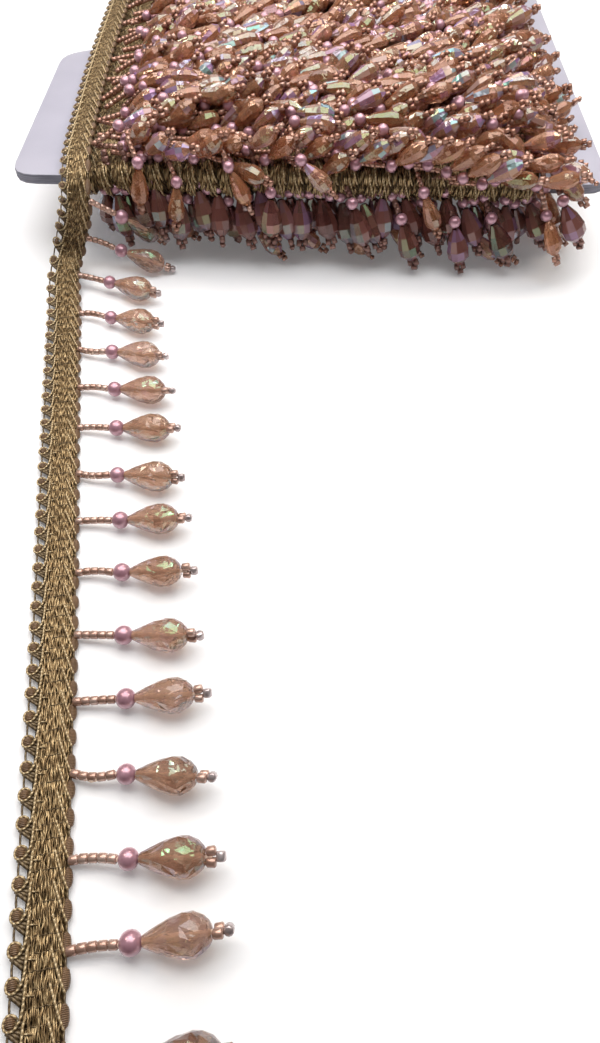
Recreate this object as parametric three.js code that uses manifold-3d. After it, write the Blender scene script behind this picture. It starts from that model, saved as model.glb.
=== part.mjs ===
// Card-wound roll of beaded fringe trim. A gold gimp braid with bead drops along one edge is wound
// round a white card, and its last length comes off the roll's left end and runs along the table.
// Millimetres, +Z up. The origin is on the table under the middle of the roll, and the front is -Y.
import * as THREE from 'three';
import { mergeVertices } from 'three/addons/utils/BufferGeometryUtils.js';
import Module from 'manifold-3d';

const GAP = 0.3;

// White card, with an ear at each corner of its left side
const CARD_LEFT = -90;
const CARD_RIGHT = 85;
const CARD_DEPTH = 210;
const CARD_THICKNESS = 3;
const CARD_UNDERSIDE = 22;
const CARD_TOP = CARD_UNDERSIDE + CARD_THICKNESS;
const CARD_CORNER = 7;
const CARD_CORNER_SEGMENTS = 4;
const NOTCH = { front: -22, back: 46, side: 11, depth: 24, corner: 4, flare: 3 };

// Gimp braid, with picot scallops along both edges
const BRAID_WIDTH = 10.5;
const BRAID_THICKNESS = 1.8;
const BRAID_EDGE_THICKNESS = 1.2;
const PICOT_PITCH = 5;
const PICOT_DEPTH = 0.8;

// Bead drop, strung in line from the braid's edge
const DROP_SPACING = 14.9;
const STEM = { length: 6.8, beads: 4, diameter: 1.7, waist: 1.1, sides: 5 };
const STEM_BEAD = { from: 0.2, to: 0.75, waist: 0.97 };
const PEARL = { diameter: 4, sides: 8, rings: 6 };
const CRYSTAL_WIDEST = 7.2;
const CRYSTAL_SIDES = 8;
const CRYSTAL_PROFILE = [
  { along: 0, radius: 1 },
  { along: 1.4, radius: 2 },
  { along: 4.2, radius: 3.1 },
  { along: CRYSTAL_WIDEST, radius: 3.6 },
  { along: 9.6, radius: 3.2 },
  { along: 11.1, radius: 1.9 },
  { along: 11.7, radius: 1.2 },
  { along: 12.1, radius: 1.5 },
  { along: 13.5, radius: 1.5 },
  { along: 15.2, radius: 0.8 },
];
const PEARL_AT = STEM.length + GAP + PEARL.diameter / 2;
const CRYSTAL_AT = PEARL_AT + PEARL.diameter / 2 + GAP;
const CRYSTAL_RADIUS = Math.max(...CRYSTAL_PROFILE.map((ring) => ring.radius));
const CRYSTAL_POINT = 0.1;
const TABLE_CLEARANCE = 0.3;
const ROOT_GAP = 2 * GAP;

// Route of the last turn: up round the back edge, over the roll, down the front and along the table.
// Bank lifts the edge that carries the drops, in degrees.
const ROUTE = [
  { x: -76, y: 60, z: 20.4, bank: 0 },
  { x: -78, y: 92, z: 19.6, bank: 0 },
  { x: -79, y: 105.5, z: 19.2, bank: 0 },
  { x: -79.3, y: 109, z: 23.4, bank: 0 },
  { x: -79.4, y: 105.5, z: 28, bank: 6 },
  { x: -79.4, y: 92, z: 29.6, bank: 14 },
  { x: -79, y: 60, z: 30, bank: 18 },
  { x: -77.8, y: 15, z: 30, bank: 18 },
  { x: -75.2, y: -39, z: 30, bank: 18 },
  { x: -73, y: -68, z: 30, bank: 18 },
  { x: -69.8, y: -98, z: 31, bank: 18 },
  { x: -68.6, y: -108, z: 30.4, bank: 18 },
  { x: -68.4, y: -114, z: 26.6, bank: 16 },
  { x: -69.4, y: -115, z: 20.5, bank: 10 },
  { x: -72.4, y: -114, z: 13, bank: 6 },
  { x: -74.6, y: -115, z: 7.2, bank: 0 },
  { x: -75.4, y: -119, z: 4.4, bank: 0 },
  { x: -74.8, y: -126, z: 2.8, bank: 0 },
  { x: -72.2, y: -139, z: 1.3, bank: 0 },
  { x: -69.5, y: -153, z: 1, bank: 0 },
  { x: -61, y: -194.5, z: 1, bank: 0 },
  { x: -50, y: -248.5, z: 1, bank: 0 },
  { x: -37.9, y: -311.5, z: 1, bank: 0 },
  { x: -34.6, y: -328, z: 1, bank: 0 },
];
const ROUTE_TENSION = 0.5;
const ROUTE_DIVISIONS = 2000;

// Loose drops from the free end back to the roll. Shift moves a drop along the braid from its even
// place, and azimuth turns it from +X towards +Y. A drop lies on the table unless a climb is given.
const LAST_DROP_FROM_END = 13;
const LOOSE_DROPS = [
  { shift: 0, azimuth: 4 },
  { shift: 0, azimuth: 8 },
  { shift: 1, azimuth: 2 },
  { shift: 0.5, azimuth: -2 },
  { shift: 1.5, azimuth: 3 },
  { shift: 1.5, azimuth: -2 },
  { shift: 1, azimuth: -1 },
  { shift: 1.5, azimuth: -1 },
  { shift: 1.5, azimuth: -7 },
  { shift: 1, azimuth: -5 },
  { shift: 1, azimuth: -8 },
  { shift: 0, azimuth: -13 },
  { shift: -0.5, azimuth: -16 },
  { shift: -2, azimuth: -18 },
  { shift: -2.5, azimuth: -2 },
  { shift: 0, azimuth: 24, climb: -40 },
];

// Wound form: a pillow of turns round the card, flat where it rests
const TURNS = 12;
const TURN_PITCH = 10.6;
const FIRST_TURN = -57.3;
const WOUND_LEFT = FIRST_TURN - TURN_PITCH / 2;
const WOUND_RIGHT = FIRST_TURN + (TURNS - 0.5) * TURN_PITCH;
const WOUND_HALF_DEPTH = CARD_DEPTH / 2 + 5.5;
const WOUND_MIDDLE = CARD_UNDERSIDE + CARD_THICKNESS / 2;
const WOUND_RISE = 14.5;
const WOUND_SAG = 25.5;
const WOUND_SQUARENESS = { top: 4, underside: 2.5 };
const WOUND_SIDES = 32;
const TURN_GROOVE = 1.2;

// The first turns fan out to the left towards the back
const FAN_TURNS = 4;
const FAN_SHIFT = -8.5;
const FAN_FROM = -98;
const FAN_DEPTH = 190;

// Crystals piled on the wound turns, of four sides
const PILE_PROFILE = [{ along: CRYSTAL_WIDEST, radius: 4.4 }];
const PILE_LENGTH = 12.4;
const PILE_PROUD = 1.4;
const PILE_ROWS = 13;
const PILE_ROW_SPACING = 15;
const PILE_STAGGER = 0.25;
const PILE_SHIFT = -0.4;
const PILE_SCATTER = { x: 1, y: 2 };
const PILE_AZIMUTH = 35;
const PILE_AZIMUTH_SPREAD = 26;

// Fringe that hangs over the card's front and back edge, in rows that lean out from the roll
const FRINGE_FROM = -42;
const FRINGE_TO = 62;
const FRINGE_STEP = 9.9;
const FRINGE_STRIP = { thickness: 2, height: 4 };
const FRINGE_RISE = 6.5;
const FRINGE_SLANT = { left: 6, right: 28 };
const FRINGE_ROWS = [
  { lean: 4, offset: 0 },
  { lean: 16, offset: FRINGE_STEP / 2 },
];
const STRAND_PROFILE = [
  { along: 0, radius: 0.9 },
  { along: 7.6, radius: 0.9 },
  { along: 9.6, radius: 2.2 },
  { along: 11.6, radius: 1 },
  { along: 19.8, radius: 4.4 },
  { along: 23.6, radius: 1.2 },
];
const STRAND_LENGTH = 25.6;
const STRAND_SIDES = 4;

// Drops of the last turn that stick out past the right end, over the card and under it
const RIGHT_END_ROOT = 6;
const RIGHT_END_AZIMUTH = 30;
const RIGHT_END_AZIMUTH_SPREAD = 15;
const RIGHT_END_MIDDLE = -5;
const RIGHT_END_SCATTER = 2;
const RIGHT_END = [
  { rows: 12, spacing: 15, rootZ: CARD_TOP + 6, endZ: CARD_TOP + 4.8 },
  { rows: 9, spacing: 20, rootZ: CARD_UNDERSIDE / 2, endZ: 3.6 },
];

const FINISH = {
  card: { color: 0xdcdae6, roughness: 0.7, metalness: 0 },
  gold: { color: 0xaa8c55, roughness: 0.4, metalness: 0.6 },
  seed: { color: 0xc9938a, roughness: 0.25, metalness: 0.4 },
  pearl: { color: 0xcf9fb8, roughness: 0.3, metalness: 0 },
  crystal: { color: 0xdcb09c, roughness: 0.08, metalness: 0 },
};

const MERGE_DISTANCE = 1e-4;

const wasm = await Module();
wasm.setup();

const radians = THREE.MathUtils.degToRad;

function mesh(name, geometry, finish) {
  const piece = new THREE.Mesh(geometry, new THREE.MeshStandardMaterial(finish));
  piece.name = name;
  return piece;
}

// Repeatable uneven value from -1 to 1
function uneven(seed) {
  const value = Math.sin(seed * 12.9898 + 4.1) * 43758.5453;
  return 2 * (value - Math.floor(value)) - 1;
}

function toSolid(geometry) {
  const bare = geometry.clone();
  bare.deleteAttribute('normal');
  bare.deleteAttribute('uv');
  const merged = mergeVertices(bare, MERGE_DISTANCE);
  const corners = merged.index.array;
  const triangles = [];
  for (let i = 0; i < corners.length; i += 3) {
    const [a, b, c] = [corners[i], corners[i + 1], corners[i + 2]];
    if (a !== b && b !== c && c !== a) triangles.push(a, b, c);
  }
  return new wasm.Manifold(new wasm.Mesh({
    numProp: 3,
    vertProperties: merged.attributes.position.array,
    triVerts: new Uint32Array(triangles),
  }));
}

function toGeometry(solid) {
  const { vertProperties, triVerts } = solid.getMesh();
  const geometry = new THREE.BufferGeometry();
  geometry.setAttribute('position', new THREE.BufferAttribute(vertProperties, 3));
  geometry.setIndex(new THREE.BufferAttribute(triVerts, 1));
  return geometry;
}

// Closed skin over rings of equal point counts, with flat ends
function loft(rings) {
  const count = rings[0].length;
  const positions = rings.flat().flatMap((point) => point.toArray());
  const triangles = [];
  for (let r = 0; r + 1 < rings.length; r += 1) {
    for (let k = 0; k < count; k += 1) {
      const next = (k + 1) % count;
      const [a, b] = [r * count + k, r * count + next];
      triangles.push(a, b, a + count, b, b + count, a + count);
    }
  }
  const last = (rings.length - 1) * count;
  for (let k = 1; k + 1 < count; k += 1) {
    triangles.push(0, k + 1, k, last, last + k, last + k + 1);
  }
  const geometry = new THREE.BufferGeometry();
  geometry.setAttribute('position', new THREE.Float32BufferAttribute(positions, 3));
  geometry.setIndex(triangles);
  return geometry;
}

// Turned shape along +X from its root, closed on its axis at both ends
function turned(profile, sides, start, end) {
  const points = profile.map((ring) => new THREE.Vector2(ring.radius, ring.along));
  const closed = [new THREE.Vector2(0, start), ...points, new THREE.Vector2(0, end)];
  return new THREE.LatheGeometry(closed, sides).rotateZ(-Math.PI / 2);
}

// Copy of a shape that lies along +X, laid from one point towards another
function laidAlong(geometry, from, towards) {
  const direction = towards.clone().sub(from).normalize();
  const turn = new THREE.Quaternion().setFromUnitVectors(new THREE.Vector3(1, 0, 0), direction);
  return geometry.clone().applyQuaternion(turn).translate(...from.toArray());
}

function card() {
  const [front, back] = [-CARD_DEPTH / 2, CARD_DEPTH / 2];
  const floor = CARD_LEFT + NOTCH.depth;
  const corners = [
    { x: CARD_LEFT, y: front, round: CARD_CORNER },
    { x: CARD_RIGHT, y: front, round: CARD_CORNER },
    { x: CARD_RIGHT, y: back, round: CARD_CORNER },
    { x: CARD_LEFT, y: back, round: CARD_CORNER },
    { x: CARD_LEFT - NOTCH.flare, y: NOTCH.back, round: CARD_CORNER },
    { x: floor, y: NOTCH.back - NOTCH.side, round: NOTCH.corner },
    { x: floor, y: NOTCH.front + NOTCH.side, round: NOTCH.corner },
    { x: CARD_LEFT - NOTCH.flare, y: NOTCH.front, round: CARD_CORNER },
  ];
  const outline = new THREE.Shape();
  corners.forEach((corner, i) => {
    const here = new THREE.Vector2(corner.x, corner.y);
    const before = corners[(i + corners.length - 1) % corners.length];
    const after = corners[(i + 1) % corners.length];
    const towards = (other) => {
      const side = new THREE.Vector2(other.x, other.y).sub(here);
      return side.setLength(corner.round).add(here);
    };
    const [entry, exit] = [towards(before), towards(after)];
    if (i === 0) outline.moveTo(entry.x, entry.y);
    else outline.lineTo(entry.x, entry.y);
    outline.quadraticCurveTo(here.x, here.y, exit.x, exit.y);
  });
  outline.closePath();
  const board = new THREE.ExtrudeGeometry(outline, {
    depth: CARD_THICKNESS, bevelEnabled: false, curveSegments: CARD_CORNER_SEGMENTS,
  });
  return mesh('card', board.translate(0, 0, CARD_UNDERSIDE), FINISH.card);
}

// Height of the wound form's top over a place along its depth
function woundTop(y) {
  const share = Math.min(Math.abs(y) / WOUND_HALF_DEPTH, 1);
  const power = WOUND_SQUARENESS.top;
  return WOUND_MIDDLE + WOUND_RISE * (1 - share ** power) ** (1 / power);
}

// How far a turn stands to the left of its even place
function fan(turn, y) {
  return FAN_SHIFT * Math.max(0, 1 - turn / FAN_TURNS) * ((y - FAN_FROM) / FAN_DEPTH);
}

function woundSection(turn, shrink) {
  return Array.from({ length: WOUND_SIDES }, (_, k) => {
    const angle = (2 * Math.PI * (k + 0.5)) / WOUND_SIDES;
    const above = Math.sin(angle) > 0;
    const rise = above ? WOUND_RISE : WOUND_SAG;
    const power = 2 / (above ? WOUND_SQUARENESS.top : WOUND_SQUARENESS.underside);
    const bulge = (value) => Math.sign(value) * Math.abs(value) ** power;
    const y = (WOUND_HALF_DEPTH - shrink) * bulge(Math.cos(angle));
    const z = WOUND_MIDDLE + (rise - shrink) * bulge(Math.sin(angle));
    return new THREE.Vector3(WOUND_LEFT + turn * TURN_PITCH + fan(turn, y), y, z);
  });
}

// Crystals that lie on the turns, pointing to the right and a little to the back
function pileDrops() {
  const shape = turned(PILE_PROFILE, STRAND_SIDES, 0, PILE_LENGTH);
  const drops = [];
  for (let turn = 0; turn < TURNS; turn += 1) {
    const stagger = turn % 2 ? PILE_STAGGER : -PILE_STAGGER;
    for (let row = 0; row < PILE_ROWS; row += 1) {
      const seed = turn * PILE_ROWS + row;
      const azimuth = radians(PILE_AZIMUTH + PILE_AZIMUTH_SPREAD * uneven(seed + 0.7));
      const place = row - (PILE_ROWS - 1) / 2 + stagger;
      const y = place * PILE_ROW_SPACING + PILE_SCATTER.y * uneven(seed);
      const even = FIRST_TURN + (turn + PILE_SHIFT) * TURN_PITCH + fan(turn, y);
      const x = even + PILE_SCATTER.x * uneven(seed + 0.3);
      const endX = x + PILE_LENGTH * Math.cos(azimuth);
      const endY = y + PILE_LENGTH * Math.sin(azimuth);
      const from = new THREE.Vector3(x, y, woundTop(y) + PILE_PROUD);
      drops.push(laidAlong(shape, from, new THREE.Vector3(endX, endY, woundTop(endY) + PILE_PROUD)));
    }
  }
  return drops;
}

// Whole drops of the last turn at the right, which lie on the card or lean on the table under it
function rightEndDrops() {
  const shape = turned(STRAND_PROFILE, STRAND_SIDES, 0, STRAND_LENGTH);
  return RIGHT_END.flatMap(({ rows, spacing, rootZ, endZ }) => (
    Array.from({ length: rows }, (_, row) => {
      const y = RIGHT_END_MIDDLE + (row - (rows - 1) / 2) * spacing
        + RIGHT_END_SCATTER * uneven(row + rootZ);
      const azimuth = radians(RIGHT_END_AZIMUTH + RIGHT_END_AZIMUTH_SPREAD * uneven(row + endZ));
      const from = new THREE.Vector3(WOUND_RIGHT - RIGHT_END_ROOT, y, rootZ);
      const towards = new THREE.Vector3(Math.cos(azimuth), Math.sin(azimuth), 0);
      towards.multiplyScalar(STRAND_LENGTH).add(from).setZ(endZ);
      return laidAlong(shape, from, towards);
    })
  ));
}

function woundTrim() {
  const sections = [];
  for (let half = 0; half <= 2 * TURNS; half += 1) {
    sections.push(woundSection(half / 2, half % 2 ? 0 : TURN_GROOVE));
  }
  const overall = 2 * (CARD_RIGHT - CARD_LEFT);
  const slot = new THREE.BoxGeometry(overall, CARD_DEPTH + 2 * GAP, CARD_THICKNESS + 2 * GAP);
  slot.translate(0, 0, WOUND_MIDDLE);
  const table = new THREE.BoxGeometry(overall, 2 * CARD_DEPTH, CARD_UNDERSIDE);
  table.translate(0, 0, -CARD_UNDERSIDE / 2);
  const turns = toSolid(loft(sections));
  const drops = [...pileDrops(), ...rightEndDrops()];
  const piled = drops.reduce((solid, drop) => solid.add(toSolid(drop)), turns);
  const wound = piled.subtract(toSolid(slot)).subtract(toSolid(table));
  return mesh('wound_trim', toGeometry(wound), FINISH.gold);
}

// Strip along the roll's front or back, with the strands that hang from it
function fringe(name, side, rows) {
  const shape = turned(STRAND_PROFILE, STRAND_SIDES, 0, STRAND_LENGTH);
  const y = side * (WOUND_HALF_DEPTH + GAP + FRINGE_STRIP.thickness / 2);
  const strip = new THREE.BoxGeometry(
    FRINGE_TO - FRINGE_FROM + FRINGE_STEP, FRINGE_STRIP.thickness, FRINGE_STRIP.height,
  );
  strip.translate((FRINGE_FROM + FRINGE_TO) / 2, y, WOUND_MIDDLE + FRINGE_RISE);
  let solid = toSolid(strip);
  for (const { lean, offset } of rows) {
    const outwards = Math.sin(radians(lean));
    for (let x = FRINGE_FROM + offset; x <= FRINGE_TO; x += FRINGE_STEP) {
      const share = (x - FRINGE_FROM) / (FRINGE_TO - FRINGE_FROM);
      const slant = THREE.MathUtils.lerp(FRINGE_SLANT.left, FRINGE_SLANT.right, share);
      const across = Math.sin(radians(slant));
      const down = Math.sqrt(1 - across ** 2 - outwards ** 2);
      const hang = new THREE.Vector3(across, side * outwards, -down);
      const root = new THREE.Vector3(x, y, WOUND_MIDDLE + FRINGE_RISE);
      solid = solid.add(toSolid(laidAlong(shape, root, root.clone().add(hang))));
    }
  }
  return mesh(name, toGeometry(solid), FINISH.crystal);
}

const routePoints = ROUTE.map(({ x, y, z }) => new THREE.Vector3(x, y, z));
const routeCurve = new THREE.CatmullRomCurve3(routePoints, false, 'catmullrom', ROUTE_TENSION);
routeCurve.arcLengthDivisions = ROUTE_DIVISIONS;
const routeLength = routeCurve.getLength();
const braidSteps = Math.round(routeLength / (PICOT_PITCH / 2));
const braidStep = routeLength / braidSteps;

// Middle of the braid at a distance along its route, with its width direction, face normal and
// half its width there, which swells at each picot
function braidFrame(distance) {
  const u = THREE.MathUtils.clamp(distance / routeLength, 0, 1);
  const place = routeCurve.getUtoTmapping(u) * (ROUTE.length - 1);
  const row = Math.min(Math.floor(place), ROUTE.length - 2);
  const bank = radians(THREE.MathUtils.lerp(ROUTE[row].bank, ROUTE[row + 1].bank, place - row));
  const middle = routeCurve.getPointAt(u);
  const along = routeCurve.getTangentAt(u);
  const across = new THREE.Vector3(1, 0, 0).addScaledVector(along, -along.x).normalize();
  const level = along.clone().cross(across);
  const width = across.clone().multiplyScalar(Math.cos(bank)).addScaledVector(level, Math.sin(bank));
  const normal = along.clone().cross(width);
  const half = BRAID_WIDTH / 2 - PICOT_DEPTH * Math.abs(1 - ((distance / braidStep) % 2));
  return { middle, width, normal, half };
}

function looseBraid() {
  const rings = [];
  for (let step = 0; step <= braidSteps; step += 1) {
    const { middle, width, normal, half } = braidFrame(step * braidStep);
    const underside = -BRAID_THICKNESS / 2;
    const section = [
      { across: -half, up: underside },
      { across: half, up: underside },
      { across: half, up: underside + BRAID_EDGE_THICKNESS },
      { across: 0, up: BRAID_THICKNESS / 2 },
      { across: -half, up: underside + BRAID_EDGE_THICKNESS },
    ];
    rings.push(section.map(({ across, up }) => (
      middle.clone().addScaledVector(width, across).addScaledVector(normal, up)
    )));
  }
  return mesh('loose_braid', loft(rings), FINISH.gold);
}

function stemShape() {
  const pitch = STEM.length / STEM.beads;
  const profile = [];
  for (let bead = 0; bead < STEM.beads; bead += 1) {
    profile.push({ along: (bead + STEM_BEAD.from) * pitch, radius: STEM.diameter / 2 });
    profile.push({ along: (bead + STEM_BEAD.to) * pitch, radius: STEM.diameter / 2 });
    if (bead + 1 < STEM.beads) {
      profile.push({ along: (bead + STEM_BEAD.waist) * pitch, radius: STEM.waist / 2 });
    }
  }
  return turned(profile, STEM.sides, 0, STEM.length);
}

// Stem, pearl and crystal of each loose drop, strung outwards from the braid's edge
function looseDrops() {
  const crystalEnd = CRYSTAL_PROFILE[CRYSTAL_PROFILE.length - 1].along + CRYSTAL_POINT;
  const shapes = {
    stem: stemShape(),
    pearl: new THREE.SphereGeometry(PEARL.diameter / 2, PEARL.sides, PEARL.rings),
    crystal: turned(CRYSTAL_PROFILE, CRYSTAL_SIDES, -CRYSTAL_POINT, crystalEnd),
  };
  shapes.pearl.translate(PEARL_AT, 0, 0);
  shapes.crystal.translate(CRYSTAL_AT, 0, 0);
  const finishes = { stem: FINISH.seed, pearl: FINISH.pearl, crystal: FINISH.crystal };
  return LOOSE_DROPS.map(({ shift, azimuth, climb }, i) => {
    const distance = routeLength - LAST_DROP_FROM_END - i * DROP_SPACING + shift;
    const { middle, width, half } = braidFrame(distance);
    const root = middle.clone().addScaledVector(width, half + ROOT_GAP);
    const rest = Math.asin((CRYSTAL_RADIUS + TABLE_CLEARANCE - root.z) / (CRYSTAL_AT + CRYSTAL_WIDEST));
    const drop = new THREE.Group();
    drop.position.copy(root);
    drop.rotation.set(0, -(climb === undefined ? rest : radians(climb)), radians(azimuth), 'ZYX');
    const number = String(i + 1).padStart(2, '0');
    for (const kind of Object.keys(shapes)) {
      drop.add(mesh(`${kind}_${number}`, shapes[kind].clone(), finishes[kind]));
    }
    return drop;
  });
}

const roll = new THREE.Group();
roll.add(card(), woundTrim());
roll.add(fringe('front_fringe', -1, FRINGE_ROWS));
roll.add(fringe('back_fringe', 1, FRINGE_ROWS.slice(0, 1)));
roll.add(looseBraid(), ...looseDrops());

export default roll;
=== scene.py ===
import math

import bpy
import numpy as np
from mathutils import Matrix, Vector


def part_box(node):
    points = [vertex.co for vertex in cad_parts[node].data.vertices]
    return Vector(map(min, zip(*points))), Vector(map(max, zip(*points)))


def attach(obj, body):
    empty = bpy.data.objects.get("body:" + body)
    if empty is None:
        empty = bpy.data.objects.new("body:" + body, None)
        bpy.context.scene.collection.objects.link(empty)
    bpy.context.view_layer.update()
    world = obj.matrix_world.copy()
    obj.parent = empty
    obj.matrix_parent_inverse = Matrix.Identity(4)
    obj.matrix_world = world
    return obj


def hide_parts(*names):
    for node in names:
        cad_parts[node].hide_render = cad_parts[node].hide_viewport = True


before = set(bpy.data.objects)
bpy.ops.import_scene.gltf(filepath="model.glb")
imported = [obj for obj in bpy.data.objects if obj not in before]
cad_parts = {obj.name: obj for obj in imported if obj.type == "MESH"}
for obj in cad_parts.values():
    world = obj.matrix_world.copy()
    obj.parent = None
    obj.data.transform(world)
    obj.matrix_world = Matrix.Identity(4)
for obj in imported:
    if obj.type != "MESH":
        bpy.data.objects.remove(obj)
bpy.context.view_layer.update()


# Card. A stiff white board with two ears at its left side, die-cut from one sheet.
# Its faces are coated smooth, and the cut edge shows the grey core. The trim is wound round it.
MM = 0.001
CARD_EDGE_ROUND = 0.0003
CARD_WHITE = (0.42, 0.41, 0.485, 1)
CARD_CLOUD = (0.375, 0.365, 0.44, 1)
CARD_CORE = (0.27, 0.27, 0.32, 1)
CARD_CORE_DARK = (0.16, 0.16, 0.20, 1)
CLOUD_SCALE, FIBRE_SCALE, LAYER_SCALE = 28, 2600, 130
LAYER_STRETCH = (1, 1, 18)
FIBRE_DEPTH, LAYER_DEPTH = 0.00006, 0.0002
MERGE_DISTANCE = 1e-5
FLAT_ANGLE, SMOOTH_ANGLE = math.radians(1), math.radians(40)


def new_finish(name, plain):
    """A material with its plain values on the shader's own sockets."""
    finish = bpy.data.materials.new(name)
    finish.use_nodes = True
    for socket, value in plain.items():
        parts_of(finish)[2][socket].default_value = value
    return finish


def parts_of(finish):
    """Nodes, links and shader sockets of a material."""
    nodes, links = finish.node_tree.nodes, finish.node_tree.links
    return nodes, links, nodes["Principled BSDF"].inputs


def object_place(nodes):
    return nodes.new("ShaderNodeTexCoord").outputs["Object"]


def ramp_of(nodes, stops):
    """A colour ramp through (place, colour) stops."""
    ramp = nodes.new("ShaderNodeValToRGB")
    elements = ramp.color_ramp.elements
    while len(elements) < len(stops):
        elements.new(0.5)
    for element, (place, colour) in zip(elements, stops):
        element.position = place
        element.color = colour
    return ramp


def tint(finish, value, stops, sockets=("Base Color",)):
    """Colours a surface by a value from 0 to 1, through (place, colour) stops."""
    nodes, links, inputs = parts_of(finish)
    tone = ramp_of(nodes, stops)
    links.new(value, tone.inputs["Fac"])
    for socket in sockets:
        links.new(tone.outputs["Color"], inputs[socket])


def noise_of(finish, scale, detail=4, vector=None):
    nodes, links, _ = parts_of(finish)
    noise = nodes.new("ShaderNodeTexNoise")
    noise.inputs["Scale"].default_value = scale
    noise.inputs["Detail"].default_value = detail
    links.new(object_place(nodes) if vector is None else vector, noise.inputs["Vector"])
    return noise.outputs["Fac"]


def bump_of(finish, height, distance):
    nodes, links, inputs = parts_of(finish)
    bump = nodes.new("ShaderNodeBump")
    bump.inputs["Distance"].default_value = distance
    bump.inputs["Strength"].default_value = 1.0
    links.new(height, bump.inputs["Height"])
    links.new(bump.outputs["Normal"], inputs["Normal"])


def placed(name, mesh, finish):
    """A new piece at the origin, which rides with the roll."""
    piece = bpy.data.objects.new(name, mesh)
    bpy.context.scene.collection.objects.link(piece)
    piece.data.materials.clear()
    piece.data.materials.append(finish)
    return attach(piece, "root")


board = new_finish("coated_board", {"Roughness": 0.55})
tint(board, noise_of(board, CLOUD_SCALE), [(0.35, CARD_CLOUD), (0.6, CARD_WHITE)])
bump_of(board, noise_of(board, FIBRE_SCALE, 2), FIBRE_DEPTH)

core = new_finish("board_core", {"Roughness": 0.85})
nodes, links, _ = parts_of(core)
stretch = nodes.new("ShaderNodeMapping")
stretch.inputs["Scale"].default_value = LAYER_STRETCH
links.new(object_place(nodes), stretch.inputs["Vector"])
layers = noise_of(core, LAYER_SCALE, 5, stretch.outputs["Vector"])
tint(core, layers, [(0.35, CARD_CORE_DARK), (0.65, CARD_CORE)])
bump_of(core, layers, LAYER_DEPTH)

card = placed("card_board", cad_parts["card"].data.copy(), board)
card.data.materials.append(core)
bpy.ops.object.select_all(action="DESELECT")
card.select_set(True)
bpy.context.view_layer.objects.active = card
bpy.ops.object.mode_set(mode="EDIT")
bpy.ops.mesh.select_all(action="SELECT")
bpy.ops.mesh.remove_doubles(threshold=MERGE_DISTANCE)
bpy.ops.mesh.dissolve_limited(angle_limit=FLAT_ANGLE)
bpy.ops.object.mode_set(mode="OBJECT")
for face in card.data.polygons:
    face.material_index = 0 if abs(face.normal.z) > 0.5 else 1
rounding = card.modifiers.new("rounded edge", "BEVEL")
rounding.width = CARD_EDGE_ROUND
rounding.segments = 2
rounding.limit_method = "ANGLE"
bpy.ops.object.modifier_apply(modifier=rounding.name)
bpy.ops.object.shade_smooth_by_angle(angle=SMOOTH_ANGLE)
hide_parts("card")


# Turns of braid. The gold braid is wound round the card side by side, each turn lying on half of
# the one before it, so that the edge with the drops stands up like a row of shingles.
TURNS = 26
TURN_FIRST, TURN_LAST = -68.4, 58.6
FAN_TURNS = 8
FAN_SHIFT = -9.6
FAN_FROM, FAN_DEPTH = -98.0, 190.0
TURN_WOBBLE = 0.7
WOBBLES, WOBBLE_SHIFT = 3, 2.3
TURN_BANK = 20.0
TURN_HALF_DEPTH = 108.0
TURN_MIDDLE = 25.3
TURN_RISE, TURN_SAG = 4.8, 4.1
FIRST_SINK = 3.0
SUNK_TURNS = 2.5
TURN_SQUARENESS = 7
TURN_START = -0.02
ROUTE_POINTS, EVEN_POINTS = 1200, 900
TURN_STATIONS = 120
BRAID_WIDTH = 10.5
RIBBON_HALF = 4.5
RIBBON_CROWN, CROWN_REACH = 0.75, 1.15
RIBBON_BACK = -0.7
RIBBON_ROUND = 9
GOLD_LIGHT = (0.51, 0.37, 0.195, 1)
GOLD_MID = (0.27, 0.175, 0.08, 1)
GOLD_DARK = (0.065, 0.037, 0.014, 1)
GROUND_LIGHT = (0.15, 0.10, 0.04, 1)
GROUND_DARK = (0.035, 0.02, 0.008, 1)
TARNISH_SCALE = 420
PLY_PAINTED_SHADE_SHARE, TARNISH_SHARE = 0.55, 0.6
HALF_PLY = 0.5
X_AXIS = np.array([1.0, 0.0, 0.0])


def unit(vectors):
    return vectors / np.linalg.norm(vectors, axis=-1, keepdims=True)


def lengths_along(points):
    steps = np.linalg.norm(np.diff(points, axis=0), axis=1)
    return np.concatenate([[0], np.cumsum(steps)])


def evened(points, count):
    """Points at even distances along a close run of points."""
    lengths = lengths_along(points)
    even = np.linspace(0, lengths[-1], count)
    return np.stack([np.interp(even, lengths, points[:, axis]) for axis in range(3)], axis=1)


def braid_route(points, banks):
    """Distances, middle line, width and face directions along a close run of points, in mm."""
    along = unit(np.gradient(points, axis=0))
    across = unit(X_AXIS - along * along[:, :1])
    level = np.cross(along, across)
    bank = np.radians(banks)[:, None]
    width = across * np.cos(bank) + level * np.sin(bank)
    return lengths_along(points), points, width, np.cross(along, width)


def on_braid(route, along, across, up):
    """Points at distances along the route, across from its middle and up from its face."""
    distances, middle, width, normal = route

    def at(values):
        return np.stack([np.interp(along, distances, values[:, axis]) for axis in range(3)], axis=-1)

    return at(middle) + at(width) * across[..., None] + at(normal) * up[..., None]


def mesh_of(name, points, faces, smooth=True):
    mesh = bpy.data.meshes.new(name)
    mesh.from_pydata((np.asarray(points).reshape(-1, 3) * MM).tolist(), [], faces)
    mesh.polygons.foreach_set("use_smooth", np.full(len(mesh.polygons), smooth))
    return mesh


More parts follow.
